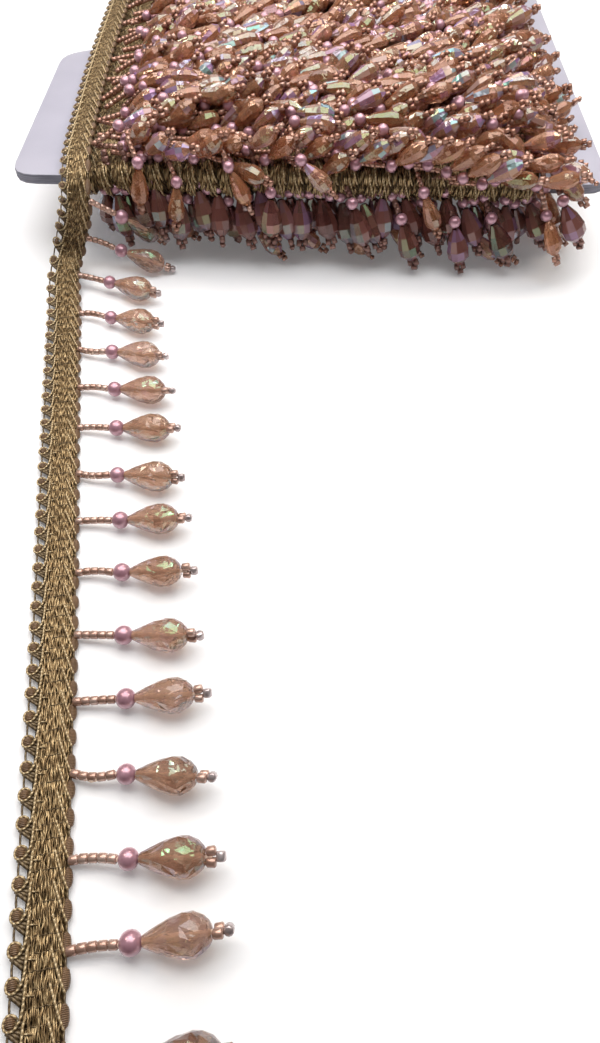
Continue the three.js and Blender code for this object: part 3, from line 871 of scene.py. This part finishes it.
for turn in reversed(range(TURNS)):
    front = np.interp(turn_x(turn, -TURN_HALF_DEPTH), TOP_FRONT_X, TOP_FRONT)
    for y in np.arange(front, TOP_BACK, TOP_SPACING):
        y = y + random.uniform(-TOP_JITTER, TOP_JITTER)
        edge = turn_x(turn, y) + EDGE_OUT
        root = np.array([edge, y, braid_top(y) + ROOT_UP])
        pile.add(root, *fall(top_heap, root, pile_azimuth(edge, y)))
    for y in np.arange(TOP_FRONT[0] + under_random.uniform(0, UNDER_SPACING), TOP_BACK, UNDER_SPACING):
        edge = turn_x(turn, y) + EDGE_OUT
        if abs(y) < UNDER_INSIDE_Y and UNDER_INSIDE_X[0] < edge < UNDER_INSIDE_X[1]:
            continue
        root = np.array([edge, y, UNDER_ROOT])
        azimuth = math.radians(under_random.uniform(-UNDER_SPREAD, UNDER_SPREAD))
        pile.add(root, *fall(under_heap, root, azimuth))

upper_places = random.uniform(UPPER_FROM, UPPER_TO, (UPPER_DROPS, 2))
for x, y in upper_places[np.argsort(-upper_places[:, 0])]:
    surface = min(resting(top_heap, (x, y), SEED_RADIUS), PILE_CEILING[1] - UPPER_BELOW)
    root = np.array([x, y, surface - UPPER_SUNK])
    pile.add(root, *fall(top_heap, root, pile_azimuth(x, y)))


# Drops that hang over the front and back edge, strung as the others are. Most come from under the
# bend of the turns and hang in its shade. A few hang outside it, and the high ones are in the light.
# All but the high ones get darker copies of the pile's glass and seed beads, which is painted shade.
HANG_FROM, HANG_TO = -62.0, 66.0
HANG_SPACING = 3.0
HANG_PEARLS = [(107.2, 22.5), (107.4, 25.0)]
HANG_STEM_LEAN = 14.0
HANG_LEAN = (-16.0, 15.0)
HANG_LEAN_SPREAD = 2
HANG_FALL = (0.0, -4.0)
HANG_SPREAD = 2.4
HANG_SLANT = (4.0, 24.0)
HANG_SLANT_SPREAD = 12.0
OUTER_DEPTH = 112.5
OUTER_STEM = np.array([-0.35, -0.75, 0.56])
OUTER_LEAN = 4
OUTER_DROPS = [
    (-49.7, 33.0, -5), (-39.6, 27.6, -7), (-24.5, 32.3, 25), (-13.0, 25.0, 0), (-4.4, 34.6, 45),
    (10.4, 22.2, 20), (25.0, 17.6, 20), (30.4, 25.8, 25), (40.6, 17.0, 15), (51.0, 18.4, 28),
    (70.0, 24.2, 32),
]
OUTER_IN_LIGHT = 25.0
HANGING_RINGS = [(0, 1.0), (3.2, 2.5), (6.6, 3.4), (9.2, 3.2), (CRYSTAL_LENGTH, 1.2)]
# Painted shade: darker tones than the pile's glass, for the drops that hang in the shade of the turns.
HANGING_PAINTED_SHADE_TONES = [
    (0.0, (0.10, 0.03, 0.024, 1)), (0.4, (0.18, 0.06, 0.048, 1)), (0.7, (0.28, 0.115, 0.095, 1)),
    (0.8, (0.25, 0.105, 0.13, 1)), (0.9, (0.32, 0.17, 0.28, 1)),
]
PAINTED_SHADE_ROSE_TONES = [(0.0, (0.15, 0.065, 0.05, 1)), (1.0, (0.30, 0.16, 0.13, 1))]
KINDS = ("crystal", "pearl", "stem")
fringe = Strung(22)


def downwards(side, slant, lean):
    """Way a drop hangs that slants to the right and leans outwards, in degrees."""
    across, outwards = math.sin(math.radians(slant)), math.sin(math.radians(lean))
    return np.array([across, side * outwards, -math.sqrt(1 - across ** 2 - outwards ** 2)])


def hang(side):
    """Lets the drops of one long edge hang, slanting more to the right the further right they are."""
    for number, x in enumerate(np.arange(HANG_FROM, HANG_TO, HANG_SPACING)):
        share = (x - HANG_FROM) / (HANG_TO - HANG_FROM)
        slant = np.interp(share, (0, 1), HANG_SLANT) + random.uniform(-1, 1) * HANG_SLANT_SPREAD
        depth, height = HANG_PEARLS[number % 2]
        height += np.interp(share, (0, 1), HANG_FALL) + random.uniform(-1, 1) * HANG_SPREAD
        pearl = np.array([x, side * depth, height])
        root = pearl - downwards(side, slant, HANG_STEM_LEAN) * PEARL_AT
        lean = HANG_LEAN[number % 2] + random.uniform(-HANG_LEAN_SPREAD, HANG_LEAN_SPREAD)
        fringe.add(root, pearl, downwards(side, slant, lean))
    for x, height, slant in OUTER_DROPS:
        pearl = np.array([x, side * OUTER_DEPTH, height])
        group = pile if height > OUTER_IN_LIGHT else fringe
        root = pearl + OUTER_STEM * (1, side, 1) * PEARL_AT * group.size
        group.add(root, pearl, downwards(side, slant, OUTER_LEAN))


hang(-1)
hang(1)
hanging_beads = (
    cut_crystal(HANGING_RINGS, CRYSTAL_SIDES),
    round_pearl(segments=12, rings=8, size=ROLL_SIZE),
    tube_seed(sides=6),
)
# Painted shade: darker, less clear glass and darker seed beads than the same beads in the pile.
hanging_glass_painted_shade = glass_finishes("painted_shade_hanging_crystal", HANGING_PAINTED_SHADE_TONES, clear=0.35, lustre=0.1, polish=0.14)
painted_shade_seed = seed_finish(
    "painted_shade_rose_seed", PAINTED_SHADE_ROSE_TONES, polish=0.3, lustre=0.4, coat=0.2, coat_polish=0.1)
fringe.pieces("fringe", hanging_beads, (hanging_glass_painted_shade, painted_shade_seed, painted_shade_seed),
              dict.fromkeys(KINDS, ("bead_trim", ["front_fringe", "back_fringe"])), 50)


# Loose length of braid. The last turn comes over the roll at its left end, falls over the front
# edge and runs along the table. Its ground carries the strands, side yarns, picots, net and ties.
ROUTE = np.array([
    (-76, 60, 20.4, 0), (-78, 92, 19.6, 0), (-79, 105.5, 19.2, 0), (-79.3, 109, 23.4, 0),
    (-79.4, 105.5, 28, 6), (-79.4, 92, 29.6, 14), (-79, 60, 30, 18), (-77.8, 15, 30, 18),
    (-75.2, -39, 30, 18), (-73, -68, 30, 18), (-69.8, -98, 31, 18), (-68.6, -108, 30.4, 18),
    (-68.4, -114, 26.6, 16), (-69.4, -115, 20.5, 10), (-72.4, -114, 13, 6), (-74.6, -115, 7.2, 0),
    (-75.4, -119, 4.4, 0), (-74.8, -126, 2.8, 0), (-72.2, -139, 1.3, 0), (-69.5, -153, 1, 0),
    (-61, -194.5, 1, 0), (-50, -248.5, 1, 0), (-37.9, -311.5, 1, 0), (-34.6, -328, 1, 0),
])
ROUTE_PER_SPAN = 40
GROUND_HALF = 3.5
GROUND_MIDDLE = 0.75
GROUND_CROWN = 0.7
GROUND_STEP = 1.5
LOOSE_STRANDS = 20
LOOSE_STRAND_STEP, LOOSE_STRAND_END = 0.65, 0.5
LOOSE_HOOK_STATIONS = 26
FIRST_PICOT, LAST_PICOT = 9.0, 1.5
LEFT_PICOT = (1.0, -3.95, 0.2)
RIGHT_PICOT = (1.9, 4.15, 0.06)
PICOT_SECTION = (0.9, 0.62)
PICOT_STATIONS = 7
PICOT_BLUNT = 1.02
PICOT_LIGHT = (0.24, 0.14, 0.072, 1)
PICOT_MID = (0.13, 0.072, 0.036, 1)
PICOT_DARK = (0.05, 0.027, 0.013, 1)
NET_FROM = [(0.1, -3.2), (0.6, -3.3), (1.0, -3.7), (1.15, -4.15), (1.1, -4.5)]
NET_TO = [(0.2, -1.9), (0.9, -1.9), (1.6, -2.0), (2.2, -2.1), (2.9, -2.4)]
NET_UP, NET_BOW = 0.12, 0.1
NET_SECTION = (0.36, 0.36)
TIE_SECTION = (0.11, 0.11)
TIE_PAST, TIE_LAST = 0.2, 2
TIE_SWAY, TIE_SWAYS, TIE_SUNK = 0.12, 3, 0.02
TIE_LIGHT = (0.20, 0.14, 0.07, 1)
TIE_DARK = (0.10, 0.065, 0.03, 1)
STITCH = np.array([
    (1.7, -2.0, 0.75), (1.75, -1.6, 1.02), (1.8, -1.2, 1.08), (1.85, -0.8, 1.04), (1.9, -0.4, 0.8),
])
STITCH_SECTION = (0.16, 0.16)
EDGE_ACROSS = (-4.2, 4.25)
EDGE_SWING, EDGE_UP = 0.1, 0.1
EDGE_END, EDGE_STEP = 1, 0.5
EDGE_SECTION = (0.2, 0.2)

dense = smooth_run(ROUTE, ROUTE_PER_SPAN)
loose_route = braid_route(dense[:, :3], dense[:, 3])
loose_length = loose_route[0][-1]
loose_ground = ribbon("loose_braid_ground", [loose_route], int(loose_length / GROUND_STEP), GROUND_HALF,
                      GROUND_MIDDLE, GROUND_CROWN)

strand_run, strand_twist = strand_lines(
    loose_route, LOOSE_STRAND_END, loose_length - LOOSE_STRAND_END, LOOSE_STRAND_STEP, LOOSE_STRANDS)
hook_run = hook_lines(loose_route, FIRST_PICOT, loose_length - LAST_PICOT, LOOSE_HOOK_STATIONS)
picot_places = np.arange(FIRST_PICOT, loose_length - LAST_PICOT, PICOT_PITCH)
from_middle = np.linspace(-1, 1, PICOT_STATIONS)
ball_run = np.concatenate([
    side_lines(loose_route, picot_places + shift, np.stack([
        half * from_middle, np.full(PICOT_STATIONS, across), np.full(PICOT_STATIONS, up)], axis=1))
    for shift, (half, across, up) in ((0, LEFT_PICOT), (RIGHT_SHIFT, RIGHT_PICOT))
])
ball_shape = np.sqrt(PICOT_BLUNT - from_middle ** 2)[None, :]
net_shapes = [np.array([(*start, NET_UP), (*np.add(start, end) / 2, NET_UP + NET_BOW), (*end, NET_UP)])
              for start, end in zip(NET_FROM, NET_TO)]
net_run = np.concatenate([side_lines(loose_route, picot_places, bent(shape, 5)) for shape in net_shapes])
tie_places = np.arange(TIE_PITCH, loose_length - TIE_LAST, TIE_PITCH)
over = np.linspace(STRAND_FROM - TIE_PAST, STRAND_TO + TIE_PAST, 9)
tie = np.stack([TIE_SWAY * np.sin(TIE_SWAYS * over), over, strand_crown(over) - TIE_SUNK], axis=1)
edge_along = np.arange(EDGE_END, loose_length - EDGE_END, EDGE_STEP)
edge_swing = EDGE_SWING * np.cos(2 * math.pi * (edge_along - FIRST_PICOT) / PICOT_PITCH)
edge_up = np.full(len(edge_along), EDGE_UP)
edge_run = np.array([
    on_braid(loose_route, edge_along, middle + edge_swing, edge_up) for middle in EDGE_ACROSS])

picot_finish = gold_finish(
    "brown_picot", (PICOT_DARK, PICOT_MID, PICOT_LIGHT), plies=3.5, depth=0.00008, lustre=0.1)
tie_finish = gold_finish("dark_tie", (GOLD_DARK, TIE_DARK, TIE_LIGHT), plies=1.0, depth=0.00005, lustre=0.3)
loose_yarns = [
    ("strands", strand_run, STRAND_SECTION, 4, yarn, strand_twist),
    ("side_yarns", hook_run, HOOK_SECTION, 5, gimp),
    ("picots", ball_run, PICOT_SECTION, 8, picot_finish, 0.0, ball_shape),
    ("net", net_run, NET_SECTION, 5, tie_finish),
    ("ties", side_lines(loose_route, tie_places, tie), TIE_SECTION, 4, tie_finish),
    ("stitches", side_lines(loose_route, picot_places, STITCH), STITCH_SECTION, 4, gimp),
    ("edge_threads", edge_run, EDGE_SECTION, 4, tie_finish),
]
loose_parts = [tube_piece(f"loose_braid_{kind}", *made) for kind, *made in loose_yarns]
for piece in (loose_ground, *loose_parts):
    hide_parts("loose_braid")


# Drops of the last turn where it lies on the roll. They are strung from the loose braid's edge and
# fall on the pile. With them the pile is whole, and its beads are joined kind by kind.
LAST_DROP_FROM_END = 13
DROP_SPACING = 14.9
TABLE_DROPS, ROLL_DROPS = 16, 20
ROLL_ROOT_UP = 0.2
ROLL_DROPS_TO_Y = 96
ROLL_TURNS = (-10, 16)


def drop_root(number, across, up, shift=0.0):
    """Where a drop leaves the loose braid. Drops are numbered from its free end."""
    along = loose_length - LAST_DROP_FROM_END - number * DROP_SPACING + shift
    return on_braid(loose_route, np.array(along), np.array(across), np.array(up))


for number in range(TABLE_DROPS, TABLE_DROPS + ROLL_DROPS):
    root = drop_root(number, BRAID_WIDTH / 2, ROLL_ROOT_UP)
    if root[2] < card_high[2] or root[1] > ROLL_DROPS_TO_Y:
        continue
    pile.add(root, *fall(top_heap, root, math.radians(random.uniform(*ROLL_TURNS))))

pile.pieces("pile", pile_beads, (pile_glass, copper_seed, copper_seed),
            dict.fromkeys(KINDS, ("bead_trim", ["wound_trim"])), 40)


# Loose drops. Sixteen of them lie on the table along the braid's right edge, strung as those on the
# roll are, on a pale thread that glows, a painted light, so that it shows through the glass. The last seed
# bead of each is clear.
LOOSE_DROPS = [
    (0, 4), (0, 8), (1, 2), (0.5, -2), (1.5, 3), (1.5, -2), (1, -1), (1.5, -1),
    (1.5, -7), (1, -5), (1, -8), (0, -13), (-0.5, -16), (-2, -18), (-2.5, -2), (0, 24),
]
STEEPEST_FALL = math.radians(40)
ROOT_ACROSS, LOOSE_ROOT_UP = 4.3, 0.35
CRYSTAL_REST = 3.8
CRYSTAL_WIDEST = 20.0
LOOSE_SLACK = 0.8
LOOSE_RINGS = [
    (0, 1.0), (2.2, 2.0), (4.6, 2.95), (6.9, 3.52), (8.6, 3.5), (10.2, 2.8), (11.2, 1.9),
    (CRYSTAL_LENGTH, 1.2),
]
LOOSE_SIDES = 14
LOOSE_TURNED = (2, 4, 6)
LOOSE_TONES = [
    (0.0, (0.33, 0.165, 0.105, 1)), (0.3, (0.47, 0.27, 0.18, 1)), (0.55, (0.62, 0.395, 0.275, 1)),
    (0.75, (0.52, 0.31, 0.27, 1)), (1.0, (0.82, 0.62, 0.46, 1)),
]
ROSE_TONES = [(0.0, (0.37, 0.21, 0.155, 1)), (0.6, (0.50, 0.32, 0.255, 1)), (1.0, (0.66, 0.50, 0.435, 1))]
CLEAR_END_TONES = [(0.0, (0.34, 0.26, 0.25, 1)), (1.0, (0.62, 0.54, 0.54, 1))]
THREAD_AND_GLOW_TONES = [(0.3, (0.60, 0.44, 0.35, 1)), (0.7, (0.76, 0.60, 0.48, 1))]
THREAD_SCALE = 1500
THREAD_SECTION = (0.4, 0.4)


def nodes_of(kind):
    return [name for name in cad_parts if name.startswith(kind + "_")]


loose_beads = (
    cut_crystal(LOOSE_RINGS, LOOSE_SIDES, turned=LOOSE_TURNED),
    round_pearl(segments=20, rings=12),
    tube_seed(sides=10, rim_steps=1),
)
loose_glass = glass_finishes("loose_crystal", LOOSE_TONES, clear=0.75, lustre=0.0, polish=0.04, ripple=0.14)
rose_seed = seed_finish("rose_seed", ROSE_TONES, polish=0.26, lustre=0.5, coat=0.3, coat_polish=0.08)
clear_end = seed_finish(
    "clear_end_seed", CLEAR_END_TONES, polish=0.15, lustre=0.5, coat=0.6, coat_polish=0.05)
loose = Strung(23)
for number, (shift, turn) in enumerate(LOOSE_DROPS):
    root = drop_root(number, ROOT_ACROSS, LOOSE_ROOT_UP, shift)
    azimuth = math.radians(turn)
    climb = math.asin(max((CRYSTAL_REST - root[2]) / CRYSTAL_WIDEST, -math.sin(STEEPEST_FALL)))
    level = math.cos(climb)
    aim = np.array([math.cos(azimuth) * level, math.sin(azimuth) * level, math.sin(climb)])
    loose.add(root, root + aim * PEARL_AT, aim, LOOSE_SLACK)
loose.pieces("loose", loose_beads, (loose_glass, rose_seed, clear_end), {
    "crystal": ("crystal", nodes_of("crystal")), "pearl": ("pearl", nodes_of("pearl")),
    "stem": ("seed_bead", nodes_of("stem"))}, 60)

# Painted light: the thread glows in its own colour, so that it reads light inside the glass.
glowing_thread_finish = new_finish("glowing_bead_thread", {"Roughness": 0.6, "Emission Strength": 0.25})
fibres = noise_of(glowing_thread_finish, THREAD_SCALE, 2)
tint(glowing_thread_finish, fibres, THREAD_AND_GLOW_TONES, ("Base Color", "Emission Color"))
loose_threads = tube_piece("loose_threads", np.array(loose.threads), THREAD_SECTION, 6, glowing_thread_finish)


# Table, light and camera. A pale floor, two large soft lights above and behind the roll, three
# small warm ones for the glints on the glass, and the camera at the photograph's place.
FLOOR_SIZE = 6.0
FLOOR_BELOW = 0.0002
FLOOR_TONE = (0.86, 0.86, 0.87, 1)
FLOOR_TONE_LOW = (0.83, 0.83, 0.845, 1)
FLOOR_GLOW = 0.15
FLOOR_CLOUD_SCALE = 3
ROLL_MIDDLE = (0, -0.02, 0.03)
WARM = (1, 0.86, 0.7)
SKY_TOWARDS = (0, 0.55, 0.83)
SKY_GREYS = [(0.0, 0.12), (0.35, 0.42), (0.95, 1.0)]
SKY_STRENGTH = 0.28
CAMERA_PLACE = (0.0025, -0.3161, 0.140)
CAMERA_DEPRESSION = 53
CAMERA_HEADING = 2
FOCAL_PIXELS, PHOTO_HEIGHT = 753, 1043
SENSOR_WIDTH = 36
NEAREST = 0.005

floor_finish = new_finish("pale_floor", {
    "Roughness": 0.8, "Emission Color": FLOOR_TONE, "Emission Strength": FLOOR_GLOW})
cloud = noise_of(floor_finish, FLOOR_CLOUD_SCALE)
tint(floor_finish, cloud, [(0.35, FLOOR_TONE_LOW), (0.65, FLOOR_TONE)])
bpy.ops.mesh.primitive_plane_add(size=FLOOR_SIZE, location=(0, 0, -FLOOR_BELOW))
floor = bpy.context.view_layer.objects.active
floor.name = "floor"
bpy.ops.object.transform_apply(location=True)
floor.data.materials.append(floor_finish)


def soft_light(name, place, target, size, power, tone=(1, 1, 1)):
    light = bpy.data.lights.new(name, "AREA")
    light.size = size
    light.energy = power
    light.color = tone
    lamp = bpy.data.objects.new(name, light)
    bpy.context.scene.collection.objects.link(lamp)
    lamp.location = place
    aim = np.array(target) - np.array(place)
    level = math.hypot(aim[0], aim[1])
    lamp.rotation_euler = (math.atan2(level, -aim[2]), 0, math.atan2(aim[1], aim[0]) - math.pi / 2)


soft_light("window", (-0.15, 0.75, 0.9), ROLL_MIDDLE, 0.8, 1.8)
soft_light("ceiling", (0, -0.06, 0.34), (0, -0.04, 0), 0.4, 1.9)
soft_light("glint_left", (-0.5, 0.05, 0.6), ROLL_MIDDLE, 0.15, 1.1, WARM)
soft_light("glint_right", (0.5, 0.15, 0.6), ROLL_MIDDLE, 0.15, 1.1, WARM)
soft_light("glint_back", (0.1, 0.6, 0.45), ROLL_MIDDLE, 0.12, 0.7, WARM)

world = bpy.data.worlds.new("soft room")
world.use_nodes = True
bpy.context.scene.world = world
nodes, links = world.node_tree.nodes, world.node_tree.links
sky = nodes.new("ShaderNodeTexCoord").outputs["Generated"]
towards = nodes.new("ShaderNodeVectorMath")
towards.operation = "DOT_PRODUCT"
towards.inputs[1].default_value = SKY_TOWARDS
links.new(sky, towards.inputs[0])
gradient = ramp_of(nodes, [(share, (grey, grey, grey, 1)) for share, grey in SKY_GREYS])
links.new(towards.outputs["Value"], gradient.inputs["Fac"])
links.new(gradient.outputs["Color"], nodes["Background"].inputs["Color"])
nodes["Background"].inputs["Strength"].default_value = SKY_STRENGTH
bpy.context.scene.view_settings.view_transform = "Standard"

view = bpy.data.cameras.new("camera")
view.sensor_width = SENSOR_WIDTH
view.lens = view.sensor_width * FOCAL_PIXELS / PHOTO_HEIGHT
view.clip_start = NEAREST
camera = bpy.data.objects.new("camera", view)
bpy.context.scene.collection.objects.link(camera)
camera.location = CAMERA_PLACE
camera.rotation_euler = (math.radians(90 - CAMERA_DEPRESSION), 0, math.radians(CAMERA_HEADING))
bpy.context.scene.camera = camera
